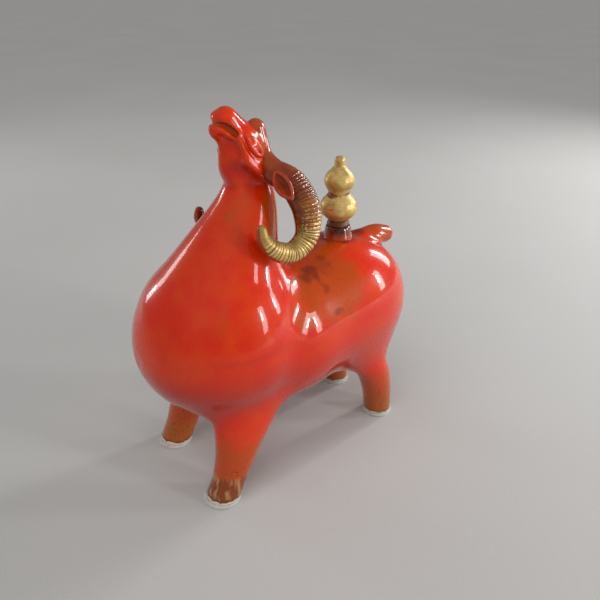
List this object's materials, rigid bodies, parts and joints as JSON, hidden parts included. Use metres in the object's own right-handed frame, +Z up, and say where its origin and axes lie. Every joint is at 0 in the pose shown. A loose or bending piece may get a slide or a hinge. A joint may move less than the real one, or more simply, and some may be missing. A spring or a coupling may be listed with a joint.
{
  "type": "sheep figurine",
  "caption": "Standing glazed porcelain sheep with its head thrown up and ribbed curling horns, hollow as a flask, with a gilded double-gourd stopper in a collar on its back.",
  "frame": {"origin": "on the ground under the feet, at the middle of the whole sheep's box", "axes": "+Z up out of the ground, the sheep faces -Y, +X is the sheep's left side"},
  "size_m": [0.072, 0.138, 0.164],
  "materials": {
    "red_glaze": "glossy vermilion glaze, thin and orange-brown on the back, the tail and the lower legs",
    "brown_glaze": "glossy red-brown glaze",
    "gilding": "brushed antique gilding over brown, satin",
    "pad_felt": "pale felt"
  },
  "bodies": {
    "sheep": {"chest_and_neck": "red_glaze", "hind_body": "red_glaze", "head": "red_glaze", "horn_left": "gilding", "horn_right": "gilding", "ear_left": "brown_glaze", "ear_right": "brown_glaze", "leg_front_left": "red_glaze", "leg_front_right": "red_glaze", "leg_rear_left": "red_glaze", "leg_rear_right": "red_glaze", "foot_pad_front_left": "pad_felt", "foot_pad_front_right": "pad_felt", "foot_pad_rear_left": "pad_felt", "foot_pad_rear_right": "pad_felt", "tail": "brown_glaze", "collar": "brown_glaze"},
    "stopper": {"gourd_stopper": "gilding"}
  },
  "joints": [
    {"name": "stopper_lift", "type": "slide", "parent": "sheep", "child": "stopper", "axis": [0, 0, 1], "range_m": [0, 0.025]}
  ]
}
